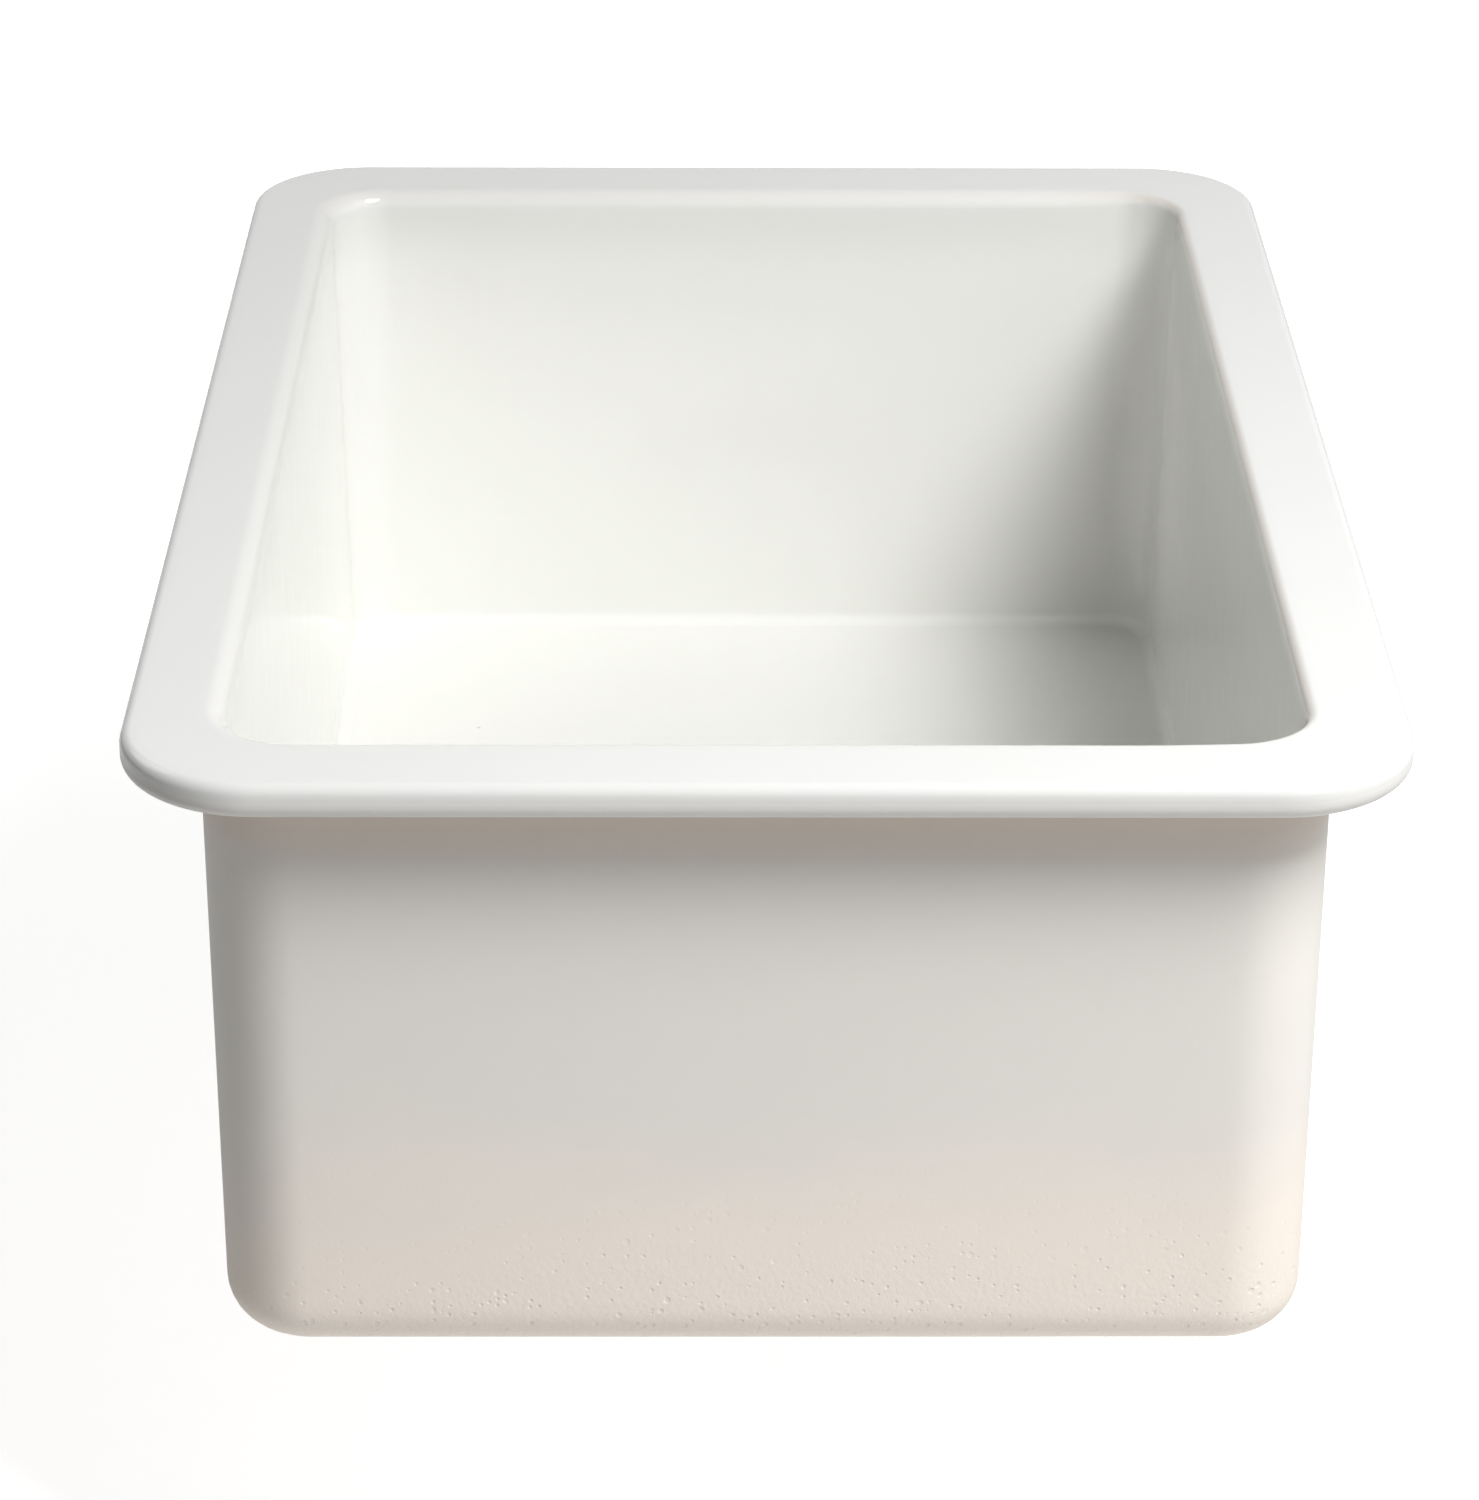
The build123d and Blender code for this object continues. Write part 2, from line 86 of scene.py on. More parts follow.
@dataclass
class Graph:
    """Short calls that add nodes to one tree and wire them."""

    tree: bpy.types.NodeTree

    def feed(self, socket: Socket, value: Value) -> None:
        """Link a socket to another, or set its value.

        Args:
            socket: the input to feed.
            value: the output to link, or a plain value.
        """
        if isinstance(value, bpy.types.NodeSocket):
            self.tree.links.new(value, socket)
        else:
            socket.default_value = value

    def node(self, kind: str, inputs: Optional[dict] = None, **settings: object) -> bpy.types.Node:
        """Add one node.

        Args:
            kind: the node's type name.
            inputs: values or sockets for its inputs, by name or index.
            **settings: properties of the node.

        Returns:
            The node.
        """
        made = self.tree.nodes.new(kind)
        for name, value in settings.items():
            setattr(made, name, value)
        for key, value in (inputs or {}).items():
            self.feed(made.inputs[key], value)
        return made

    def math(self, operation: str, first: Value, second: Value = 0.0) -> Socket:
        """Work out one sum of two values."""
        return self.node("ShaderNodeMath", {0: first, 1: second}, operation=operation).outputs[0]

    def _mixed(self, kind: str, share: Value, low: Value, high: Value) -> Socket:
        """Blend two values of one kind.

        Args:
            kind: the kind of value, FLOAT or RGBA, which settles the sockets.
            share: how much of the second value, from 0 to 1.
            low: the value at a share of 0.
            high: the value at a share of 1.

        Returns:
            The blend.
        """
        first, second, result = MIX_SOCKETS[kind]
        inputs = {0: share, first: low, second: high}
        return self.node("ShaderNodeMix", inputs, data_type=kind, clamp_factor=True).outputs[result]

    def mix(self, share: Value, low: Value, high: Value) -> Socket:
        """Blend two colours by a share from 0 to 1."""
        return self._mixed("RGBA", share, low, high)

    def blend(self, share: Value, low: Value, high: Value) -> Socket:
        """Blend two numbers by a share from 0 to 1."""
        return self._mixed("FLOAT", share, low, high)

    def ramp(self, value: Value, low: Value, high: Value, start: Value = 0.0, end: Value = 1.0) -> Socket:
        """Carry a value smoothly from one range, low to high, to another, start to end."""
        inputs = {"Value": value, "From Min": low, "From Max": high, "To Min": start, "To Max": end}
        return self.node("ShaderNodeMapRange", inputs, interpolation_type="SMOOTHSTEP").outputs[0]

    def noise(self, place: Value, scale: Value, detail: float = 2.0, rough: float = 0.5) -> Socket:
        """Fractal noise from 0 to 1 about one half."""
        inputs = {"Vector": place, "Scale": scale, "Detail": detail, "Roughness": rough}
        return self.node("ShaderNodeTexNoise", inputs).outputs[0]

    def stretch(self, place: Value, scale: tuple[float, float, float]) -> Socket:
        """Scale a place axis by axis."""
        return self.node("ShaderNodeVectorMath", {0: place, 1: scale}, operation="MULTIPLY").outputs[0]

    def place(self) -> Socket:
        """The place on the object, in metres."""
        return self.node("ShaderNodeTexCoord").outputs["Object"]

    def attribute(self, name: str) -> Socket:
        """A number that the mesh carries at each vertex."""
        return self.node("ShaderNodeAttribute", attribute_name=name).outputs["Fac"]

    def sight(self) -> tuple[Socket, Socket]:
        """Tell the rays that show a surface from those that carry its light to others.

        Returns:
            1 for camera and transmission rays, and 1 for these and for glossy rays.
        """
        rays = self.node("ShaderNodeLightPath").outputs
        direct = self.math("MAXIMUM", rays["Is Camera Ray"], rays["Is Transmission Ray"])
        return direct, self.math("MAXIMUM", direct, rays["Is Glossy Ray"])


class Effect(Enum):
    """The effects that more than one finish uses."""

    MOTTLE = "mottle"
    SPECKS = "specks"
    LATHE = "lathe_lines"


class Effects:
    """Shader node groups, each built once and placed in the materials with their own values."""

    made: dict[Effect, bpy.types.NodeTree] = {}

    @staticmethod
    def _new(effect: Effect, inputs: dict[str, str],
             outputs: dict[str, str]) -> tuple[Graph, bpy.types.NodeOutputs, bpy.types.Node]:
        """Start a group with named sockets.

        Args:
            effect: which effect it is.
            inputs: socket types by name.
            outputs: socket types by name.

        Returns:
            The graph, the group's input sockets by name and its output node.
        """
        tree = bpy.data.node_groups.new(effect.value, "ShaderNodeTree")
        for side, sockets in (("INPUT", inputs), ("OUTPUT", outputs)):
            for name, kind in sockets.items():
                tree.interface.new_socket(name, in_out=side, socket_type=kind)
        graph = Graph(tree)
        return graph, graph.node("NodeGroupInput").outputs, graph.node("NodeGroupOutput")

    @classmethod
    def _mottle(cls) -> bpy.types.NodeTree:
        """Two colours that drift into each other in soft clouds, with the cloud as a mask.

        The cloud is three parts of a broad noise and one part of a fine one.

        Returns:
            The group.
        """
        fine_scale, fine_share, cloud_edges = 7.3, 0.25, (0.36, 0.64)
        graph, given, out = cls._new(
            Effect.MOTTLE,
            {"Place": "NodeSocketVector", "Scale": "NodeSocketFloat", "Base": "NodeSocketColor",
             "Drift": "NodeSocketColor", "Share": "NodeSocketFloat"},
            {"Color": "NodeSocketColor", "Mask": "NodeSocketFloat"},
        )
        broad = graph.noise(given["Place"], given["Scale"], detail=3.0, rough=0.55)
        fine = graph.noise(given["Place"], graph.math("MULTIPLY", given["Scale"], fine_scale))
        cloud = graph.math("ADD", graph.math("MULTIPLY", broad, 1 - fine_share),
                           graph.math("MULTIPLY", fine, fine_share))
        mask = graph.ramp(cloud, *cloud_edges)
        graph.feed(out.inputs["Mask"], mask)
        share = graph.math("MULTIPLY", mask, given["Share"])
        graph.feed(out.inputs["Color"], graph.mix(share, given["Base"], given["Drift"]))
        return graph.tree

    @classmethod
    def _specks(cls) -> bpy.types.NodeTree:
        """Small round spots, one in some of the cells of a random net.

        A cell's first random number says whether it has a spot, and its second how large the spot is.

        Returns:
            The group.
        """
        least_size, core = 0.4, 0.55
        graph, given, out = cls._new(
            Effect.SPECKS,
            {"Place": "NodeSocketVector", "Scale": "NodeSocketFloat", "Size": "NodeSocketFloat",
             "Share": "NodeSocketFloat"},
            {"Mask": "NodeSocketFloat"},
        )
        cells = graph.node("ShaderNodeTexVoronoi", {"Vector": given["Place"], "Scale": given["Scale"]})
        picked = graph.node("ShaderNodeSeparateColor", {"Color": cells.outputs["Color"]})
        chosen = graph.math("LESS_THAN", picked.outputs[0], given["Share"])
        size = graph.math("MULTIPLY", given["Size"], graph.math("ADD", picked.outputs[1], least_size))
        inner = graph.math("MULTIPLY", size, core)
        spot = graph.ramp(cells.outputs["Distance"], inner, size, start=1.0, end=0.0)
        graph.feed(out.inputs["Mask"], graph.math("MULTIPLY", spot, chosen))
        return graph.tree

    @classmethod
    def _lathe(cls) -> bpy.types.NodeTree:
        """Fine uneven rings about the Z axis, as turning and spinning leave them.

        The rings are a noise of one number, the radius plus the height, counted in pitches.

        Returns:
            The group.
        """
        graph, given, out = cls._new(
            Effect.LATHE,
            {"Place": "NodeSocketVector", "Pitch": "NodeSocketFloat"},
            {"Height": "NodeSocketFloat"},
        )
        axes = graph.node("ShaderNodeSeparateXYZ", {0: given["Place"]})
        square = graph.math("ADD", graph.math("MULTIPLY", axes.outputs[0], axes.outputs[0]),
                            graph.math("MULTIPLY", axes.outputs[1], axes.outputs[1]))
        radius = graph.math("SQRT", square)
        run = graph.math("DIVIDE", graph.math("ADD", radius, axes.outputs[2]), given["Pitch"])
        lines = graph.node("ShaderNodeTexNoise", {"W": run, "Scale": 1.0, "Detail": 3.0},
                           noise_dimensions="1D")
        graph.feed(out.inputs["Height"], lines.outputs[0])
        return graph.tree

    @classmethod
    def add(cls, graph: Graph, effect: Effect, **inputs: Value) -> bpy.types.Node:
        """Place an effect in a material.

        Args:
            graph: the material's graph.
            effect: which effect to place.
            **inputs: values or sockets for the group's inputs, by their names in lower case.

        Returns:
            The group's node.
        """
        if effect not in cls.made:
            builders = {Effect.MOTTLE: cls._mottle, Effect.SPECKS: cls._specks, Effect.LATHE: cls._lathe}
            cls.made[effect] = builders[effect]()
        made = graph.node("ShaderNodeGroup", node_tree=cls.made[effect])
        for name, value in inputs.items():
            graph.feed(made.inputs[name.capitalize()], value)
        return made


def new_material(name: str, **constants: Value) -> tuple[bpy.types.Material, Graph, bpy.types.Node]:
    """Start a material.

    Args:
        name: the finish's name.
        **constants: values of the shader's sockets, by their names with underscores.

    Returns:
        The material, its graph and its shader.
    """
    material = bpy.data.materials.new(name)
    material.use_nodes = True
    graph = Graph(material.node_tree)
    shader = material.node_tree.nodes["Principled BSDF"]
    for key, value in constants.items():
        shader.inputs[key.replace("_", " ")].default_value = value
    return material, graph, shader


def add_bump(graph: Graph, shader: bpy.types.Node, height: Value, depth: float,
             strength: float = 1.0) -> None:
    """Feed a height into the shader's normal, as deep as depth in metres."""
    bump = graph.node("ShaderNodeBump", {"Height": height, "Distance": depth, "Strength": strength})
    graph.feed(shader.inputs["Normal"], bump.outputs[0])


@dataclass(frozen=True)
class Zones:
    """Where on the bowl a point lies, as sockets of the glaze's graph.

    The edge is the height, made uneven, that the glaze fades at, inside is 1 on the glossy glaze of the
    basin and the rim, and bare is 1 on the clay at the foot.
    """

    place: Socket
    height: Socket
    edge: Socket
    inside: Socket
    bare: Socket


@dataclass(frozen=True)
class FireclayGlaze:
    """White glaze over clay: glossy in the basin and on the rim, thin outside, and bare at the foot.

    Each band is the pair of heights between which one look gives way to the next: basin to rim, neck to
    lip, shell to neck, thin glaze to clay, and few pits to many.
    """

    name: str = "fireclay_glaze"
    basin: Colour = (0.83, 0.832, 0.80)
    run: Colour = (0.80, 0.80, 0.76)
    # rim: the basin's glaze painted darker on the rim's top, a painted shade where the lamps fall strongest
    rim: Colour = (0.765, 0.765, 0.75)
    # lip: the rim's glaze painted darker on its outer face, a painted shade where that face turns from the
    # lamps
    lip: Colour = (0.68, 0.662, 0.632)
    shell: Colour = (0.79, 0.76, 0.715)
    # neck: a warm brown band under the rim, partly the thin glaze's tint and partly painted shade under the
    # overhang
    neck: Colour = (0.715, 0.63, 0.555)
    clay: Colour = (0.89, 0.812, 0.735)
    # warm clay where the glaze breaks over the opening's edge, stronger on the right as painted shade
    break_and_shade_tint: Colour = (0.64, 0.55, 0.45)
    break_and_shade_share: float = 0.45
    speck_tint: Colour = (0.25, 0.22, 0.19)
    speck_strength: float = 0.35
    run_share: float = 0.16
    run_stretch: tuple[float, float, float] = (1.0, 1.0, 0.18)
    # rim_band: down the top of the basin's walls the glaze gives way to the rim's painted shade
    rim_band: Band = (-0.04, -0.004)
    # lip_band: where the lip's painted shade gives way to the outside below it
    lip_band: Band = (-0.0148, -0.0132)
    # neck_band: the heights over which the shell gives way to the neck's brown band and painted shade
    neck_band: Band = (-0.052, -0.022)
    foot_band: Band = (-0.135, -0.215)
    pitted_band: Band = (-0.20, -0.245)
    foot_wander: float = 0.11
    foot_stretch: tuple[float, float, float] = (1.0, 1.0, 2.0)
    gloss_roughness: float = 0.11
    thin_roughness: float = 0.5
    clay_roughness: float = 0.8
    pit_weight: float = 1.1
    sparse_relief: float = 0.22
    ripple_weight: float = 0.25
    relief_depth: float = 0.0004
    relief_strength: float = 0.6

    def zones(self, graph: Graph) -> Zones:
        """Work out where a point lies.

        Args:
            graph: the material's graph.

        Returns:
            The zones.
        """
        place = graph.place()
        height = graph.node("ShaderNodeSeparateXYZ", {0: place}).outputs[2]
        inside = graph.attribute("glazed")
        drift = graph.noise(graph.stretch(place, self.foot_stretch), scale=5.0, detail=4.0, rough=0.6)
        swing = graph.math("MULTIPLY", graph.math("SUBTRACT", drift, 0.5), self.foot_wander)
        edge = graph.math("ADD", height, swing)
        foot = graph.ramp(edge, *self.foot_band)
        bare = graph.math("MULTIPLY", foot, graph.math("SUBTRACT", 1.0, inside))
        return Zones(place, height, edge, inside, bare)

    def tint(self, graph: Graph, zones: Zones) -> Socket:
        """Colour the glaze and the clay, with painted shade on the rim and its lip, a brown band under the
        rim that is partly painted shade, faint runs, broken edges with painted shade along the right, and
        specks.

        Args:
            graph: the material's graph.
            zones: where the point lies.

        Returns:
            The colour.
        """
        # Under the rim the shell darkens into the neck's band: partly the thin glaze's tint, partly painted
        # shade.
        below = graph.mix(graph.ramp(zones.height, *self.neck_band), opaque(self.shell), opaque(self.neck))
        # The outside above the rim's underside takes the lip's painted shade.
        shell = graph.mix(graph.ramp(zones.height, *self.lip_band), below, opaque(self.lip))
        outside = graph.mix(zones.bare, shell, opaque(self.clay))
        # The basin's glaze, darkened towards the rim by painted shade.
        deep = graph.mix(graph.ramp(zones.height, *self.rim_band), opaque(self.basin), opaque(self.rim))
        runs = Effects.add(graph, Effect.MOTTLE, place=graph.stretch(zones.place, self.run_stretch),
                           scale=16.0, base=deep, drift=opaque(self.run), share=self.run_share)
        body = graph.mix(zones.inside, outside, runs.outputs["Color"])
        # The break tint, with painted shade along the right roll.
        broken = graph.math("MULTIPLY", graph.attribute("crest"), self.break_and_shade_share)
        tinted = graph.mix(broken, body, opaque(self.break_and_shade_tint))
        specks = Effects.add(graph, Effect.SPECKS, place=zones.place, scale=55.0, size=0.055, share=0.035)
        faint = graph.math("MULTIPLY", specks.outputs["Mask"], self.speck_strength)
        return graph.mix(faint, tinted, opaque(self.speck_tint))

    def relief(self, graph: Graph, zones: Zones) -> Socket:
        """Raise the grain of the bare clay, sink its pits, and ripple the glaze slightly.

        Args:
            graph: the material's graph.
            zones: where the point lies.

        Returns:
            The height, in relief depths.
        """
        grain = graph.noise(zones.place, scale=420.0, detail=3.0, rough=0.65)
        pits = Effects.add(graph, Effect.SPECKS, place=zones.place, scale=330.0, size=0.42, share=0.26)
        pitted = graph.math("SUBTRACT", grain, graph.math("MULTIPLY", pits.outputs["Mask"], self.pit_weight))
        dense = graph.blend(graph.ramp(zones.edge, *self.pitted_band), self.sparse_relief, 1.0)
        rough = graph.math("MULTIPLY", pitted, graph.math("MULTIPLY", zones.bare, dense))
        wave = graph.noise(zones.place, scale=42.0, detail=1.0)
        return graph.math("ADD", rough, graph.math("MULTIPLY", wave, self.ripple_weight))

    def build(self) -> bpy.types.Material:
        """Build the material from the bowl's height and its glazed and crest attributes.

        Returns:
            The material.
        """
        material, graph, shader = new_material(self.name)
        zones = self.zones(graph)
        graph.feed(shader.inputs["Base Color"], self.tint(graph, zones))
        dull = graph.blend(zones.bare, self.thin_roughness, self.clay_roughness)
        graph.feed(shader.inputs["Roughness"], graph.blend(zones.inside, dull, self.gloss_roughness))
        add_bump(graph, shader, self.relief(graph, zones), self.relief_depth, self.relief_strength)
        return material


class MetalWork(Enum):
    """How a metal piece was finished, with the roughness that it leaves."""

    BRUSHED = 0.30
    POLISHED = 0.14
    PLATED = 0.05
    CAST = 0.48


@dataclass(frozen=True)
class Metal:
    """Bare or plated metal with the marks of its making."""

    name: str
    colour: Colour
    work: MetalWork
    tarnish: Colour = (0.5, 0.48, 0.45)
    tarnish_share: float = 0.25
    gloss_swing: Band = (0.8, 1.25)
    ring_pitch: float = 0.0004
    ring_depth: float = 0.00001
    cast_depth: float = 0.00012

    def build(self) -> bpy.types.Material:
        """Build the material: clouds of tarnish, lathe rings or cast grain, and uneven gloss.

        Returns:
            The material.
        """
        material, graph, shader = new_material(self.name, Metallic=1.0)
        place = graph.place()
        cloud = Effects.add(graph, Effect.MOTTLE, place=place, scale=38.0, base=opaque(self.colour),
                            drift=opaque(self.tarnish), share=self.tarnish_share)
        graph.feed(shader.inputs["Base Color"], cloud.outputs["Color"])
        least, most = (self.work.value * swing for swing in self.gloss_swing)
        graph.feed(shader.inputs["Roughness"], graph.blend(cloud.outputs["Mask"], least, most))
        if self.work is MetalWork.CAST:
            grain = graph.noise(place, scale=700.0, detail=4.0, rough=0.7)
            add_bump(graph, shader, grain, self.cast_depth)
        else:
            lines = Effects.add(graph, Effect.LATHE, place=place, pitch=self.ring_pitch)
            add_bump(graph, shader, lines.outputs["Height"], self.ring_depth)
        return material


@dataclass(frozen=True)
class Soft:
    """Rubber, putty, fibre or plastic: matte, clouded and finely grained."""

    name: str
    colour: Colour
    drift: Colour
    roughness: float
    grain_scale: float
    grain_depth: float
    speck_share: float = 0.0
    speck_tint: Colour = (0.3, 0.25, 0.2)
    drift_share: float = 0.8
    gloss_swing: Band = (0.88, 1.1)

    def build(self) -> bpy.types.Material:
        """Build the material: clouds of two tints, specks and a grained surface.

        Returns:
            The material.
        """
        material, graph, shader = new_material(self.name)
        place = graph.place()
        cloud = Effects.add(graph, Effect.MOTTLE, place=place, scale=30.0, base=opaque(self.colour),
                            drift=opaque(self.drift), share=self.drift_share)
        specks = Effects.add(graph, Effect.SPECKS, place=place, scale=520.0, size=0.4,
                             share=self.speck_share)
        tint = graph.mix(specks.outputs["Mask"], cloud.outputs["Color"], opaque(self.speck_tint))
        graph.feed(shader.inputs["Base Color"], tint)
        least, most = (min(1.0, self.roughness * swing) for swing in self.gloss_swing)
        graph.feed(shader.inputs["Roughness"], graph.blend(cloud.outputs["Mask"], least, most))
        grain = graph.noise(place, self.grain_scale, detail=3.0, rough=0.6)
        add_bump(graph, shader, grain, self.grain_depth)
        return material


@dataclass(frozen=True)
class Palette:
    """Every finish on the object."""

    glaze: FireclayGlaze = FireclayGlaze()
    strainer: Metal = Metal("brushed_strainer_steel", (0.62, 0.61, 0.59), MetalWork.BRUSHED)
    basket: Metal = Metal("polished_basket_steel", (0.66, 0.65, 0.63), MetalWork.POLISHED)
    chrome: Metal = Metal("chrome_plate", (0.56, 0.57, 0.58), MetalWork.PLATED, tarnish_share=0.06,
                          ring_depth=0.000002)
    brass: Metal = Metal("turned_brass", (0.62, 0.45, 0.2), MetalWork.BRUSHED, tarnish=(0.36, 0.25, 0.12))
    cast: Metal = Metal("cast_zinc", (0.46, 0.46, 0.45), MetalWork.CAST, tarnish=(0.33, 0.33, 0.32))
    spring: Metal = Metal("spring_steel", (0.4, 0.4, 0.41), MetalWork.POLISHED)
    rubber: Soft = Soft("black_rubber", (0.022, 0.022, 0.023), (0.035, 0.035, 0.034),
                        roughness=0.6, grain_scale=900.0, grain_depth=0.00004)
    putty: Soft = Soft("plumbers_putty", (0.48, 0.43, 0.34), (0.4, 0.35, 0.27),
                       roughness=0.8, grain_scale=500.0, grain_depth=0.0001, speck_share=0.15)
    fibre: Soft = Soft("fibre_ring", (0.3, 0.14, 0.07), (0.22, 0.1, 0.05),
                       roughness=0.75, grain_scale=700.0, grain_depth=0.00005, speck_share=0.2)
    seal: Soft = Soft("white_seal", (0.72, 0.72, 0.69), (0.66, 0.65, 0.6),
                      roughness=0.5, grain_scale=600.0, grain_depth=0.00002)


def set_grid(name: str, points: np.ndarray, close_rows: bool, close_columns: bool,
             capped: bool = False) -> bpy.types.Object:
    """Make a smooth mesh from a grid of points.

    Args:
        name: the piece's name.
        points: places in metres, of shape (rows, columns, 3); faces look along row step x column step.
        close_rows: whether the last row joins the first.
        close_columns: whether the last column joins the first.
        capped: whether the first and last row are closed by a face each.

    Returns:
        The mesh object, linked to the scene.
    """
    rows, columns, _ = points.shape
    index = np.arange(rows * columns).reshape(rows, columns)
    row = np.arange(rows if close_rows else rows - 1)[:, None]
    column = np.arange(columns if close_columns else columns - 1)[None, :]
    next_row, next_column = (row + 1) % rows, (column + 1) % columns
    quads = np.stack([index[row, column], index[next_row, column], index[next_row, next_column],
                      index[row, next_column]], axis=-1).reshape(-1, 4)
    faces = quads.tolist()
    if capped:
        faces += [index[0][::-1].tolist(), index[-1].tolist()]
    mesh = bpy.data.meshes.new(name)
    mesh.from_pydata(points.reshape(-1, 3), [], faces)
    mesh.polygons.foreach_set("use_smooth", np.ones(len(faces), bool))
    mesh.update()
    made = bpy.data.objects.new(name, mesh)
    bpy.context.scene.collection.objects.link(made)
    return made


def dress(piece: bpy.types.Object, material: bpy.types.Material) -> None:
    """Give a piece one material in place of whatever it had."""
    piece.data.materials.clear()
    piece.data.materials.append(material)


@dataclass
class Station:
    """One corner of the bowl's section: the ring of the bowl that passes through it.

    Its steps are the rows of faces between it and the next corner, and its centre is that of the ring's
    corner in plan, unless the ring is a circle. Glazed is 1 where the glaze is glossy, and crest is 1
    where it breaks over an edge.
    """

    half_width: float
    height: float
    rounding: float
    steps: int
    centre_x: float = 0.0
    centre_y: float = 0.0
    circle: bool = False
    glazed: float = 1.0
    crest: float = 0.0


@dataclass
class FireclayBowl:
    """The sink's body: one glazed casting whose section is carried round a rounded rectangle."""

    rim_half: tuple[float, float] = (231.75, 339.75)
    rim_corner: float = 51.0
    rim_thickness: float = 13.7
    rim_top_round: float = 4.3
    rim_under_round: float = 5.4
    body_half: tuple[float, float] = (204.55, 312.55)
    body_corner: float = 34.0
    body_draft: float = 0.3
    height: float = 251.0
    neck_round: float = 8.0
    base_round: float = 20.0
    opening_half: tuple[float, float] = (195.0, 299.0)
    opening_corner: float = 26.0
    opening_roll: float = 8.0
    right_roll: float = 4.5
    right_band: Band = (0.6, 0.95)
    basin_draft: float = 1.06
    floor_edge: float = 216.0
    floor_low: float = 224.0
    floor_round: float = 6.0
    hole_radius: float = 46.0
    hole_chamfer: float = 1.5
    land_radius: float = 61.0
    land_depth: float = 1.0
    land_round: float = 0.2
    seat_radius: float = 58.5
    seat_height: float = 227.0
    seat_land: float = 5.0
    seat_round: float = 0.8
    seat_top_round: float = 1.0
    fine_round: float = 0.3
    # under_glaze: partly the thin glaze under the rim, and kept low so the lip's face takes more painted
    # shade
    under_glaze: float = 0.2
    # left_crest: the break tint's share on the left edge; the full tint on the right adds painted shade
    left_crest: float = 0.25
    corner_steps: int = 18
    side_steps: int = 34
    end_steps: int = 26
    arc_steps: int = 9

    def stations(self, roll: float) -> list[Station]:
        """The section's corners, from the foot of the drain hole up through the basin and over the rim.

        Each is written as its half width, height, rounding and steps, and then its centre in plan.

        Args:
            roll: the rounding of the opening's edge.

        Returns:
            The corners in order.
        """
        wall_in = self.opening_half[0] - self.floor_edge * tan(radians(self.basin_draft))
        neck = self.body_half[0] - self.rim_thickness * tan(radians(self.body_draft))
        foot = self.body_half[0] - self.height * tan(radians(self.body_draft))
        opening = [half - self.opening_corner for half in self.opening_half]
        rim = [half - self.rim_corner for half in self.rim_half]
        body = [half - self.body_corner for half in self.body_half]
        hole, chamfer, fine = self.hole_radius, self.hole_chamfer, self.fine_round
        dish = wall_in - self.floor_round
        land = self.land_depth - self.height
        return [
            Station(self.land_radius, -self.height, fine, 1, circle=True, glazed=0.0),
            Station(self.land_radius, land, self.land_round, 4, circle=True, glazed=0.0),
            Station(hole + chamfer, land, fine, 2, circle=True, glazed=0.0),
            Station(hole, land + chamfer, fine, 4, circle=True, glazed=0.0),
            Station(hole, -self.seat_height - chamfer, fine, 2, circle=True, glazed=0.0),
            Station(hole + chamfer, -self.seat_height, fine, 3, circle=True),
            Station(self.seat_radius, -self.seat_height, self.seat_round, 2, circle=True),
            Station(self.seat_radius, -self.floor_low, self.seat_top_round, 2, circle=True),
            Station(self.seat_radius + self.seat_land, -self.floor_low, 0.0, 22, circle=True),
            Station(dish, -self.floor_edge, 0.0, 1, *opening),
            Station(wall_in, -self.floor_edge, self.floor_round - fine, 36, *opening),
            Station(self.opening_half[0], 0.0, roll, 8, *opening, crest=1.0),
            Station(self.rim_half[0], 0.0, self.rim_top_round, 3, *rim),
            Station(self.rim_half[0], -self.rim_thickness, self.rim_under_round, 3, *rim,
                    glazed=self.under_glaze),
            Station(neck, -self.rim_thickness, self.neck_round, 44, *body, glazed=0.0),
            Station(foot, -self.height, self.base_round, 16, *body, glazed=0.0),
        ]

    def section(self, roll: float) -> np.ndarray:
        """The section with its corners rounded.

        Each corner with a rounding becomes an arc that touches both its sides: the arc's centre lies on
        the bisector, and its ends lie a rounding times the tangent of half the turn from the corner.

        Args:
            roll: the rounding of the opening's edge.

        Returns:
            Rows of half width, height, centre x, centre y, circle share, glazed, crest and steps.
        """
        corners = self.stations(roll)
        places = np.array([[c.half_width, c.height] for c in corners])
        before = places - np.roll(places, 1, axis=0)
        after = np.roll(places, -1, axis=0) - places
        before /= np.linalg.norm(before, axis=1)[:, None]
        after /= np.linalg.norm(after, axis=1)[:, None]
        turn = np.arctan2(before[:, 0] * after[:, 1] - before[:, 1] * after[:, 0], (before * after).sum(1))
        share = np.linspace(0, 1, self.arc_steps + 1)
        blocks = []
        for number, corner in enumerate(corners):
            facts = [corner.centre_x, corner.centre_y, float(corner.circle), corner.glazed]
            if corner.rounding == 0:
                blocks.append([[*places[number], *facts, corner.crest, corner.steps]])
                continue
            reach = corner.rounding * tan(abs(turn[number]) / 2)
            start = places[number] - before[number] * reach
            normal = np.sign(turn[number]) * np.array([-before[number][1], before[number][0]])
            centre = start + normal * corner.rounding
            angle = share * turn[number]
            arm = start - centre
            arc = centre + np.stack([arm[0] * np.cos(angle) - arm[1] * np.sin(angle),
                                     arm[0] * np.sin(angle) + arm[1] * np.cos(angle)], axis=1)
            swell = corner.crest * np.sin(share * pi) ** 2
            block = np.column_stack([arc, np.tile(facts, (len(arc), 1)), swell, np.ones(len(arc))])
            block[-1, STEPS] = corner.steps
            blocks.append(block)
        return np.concatenate(blocks)

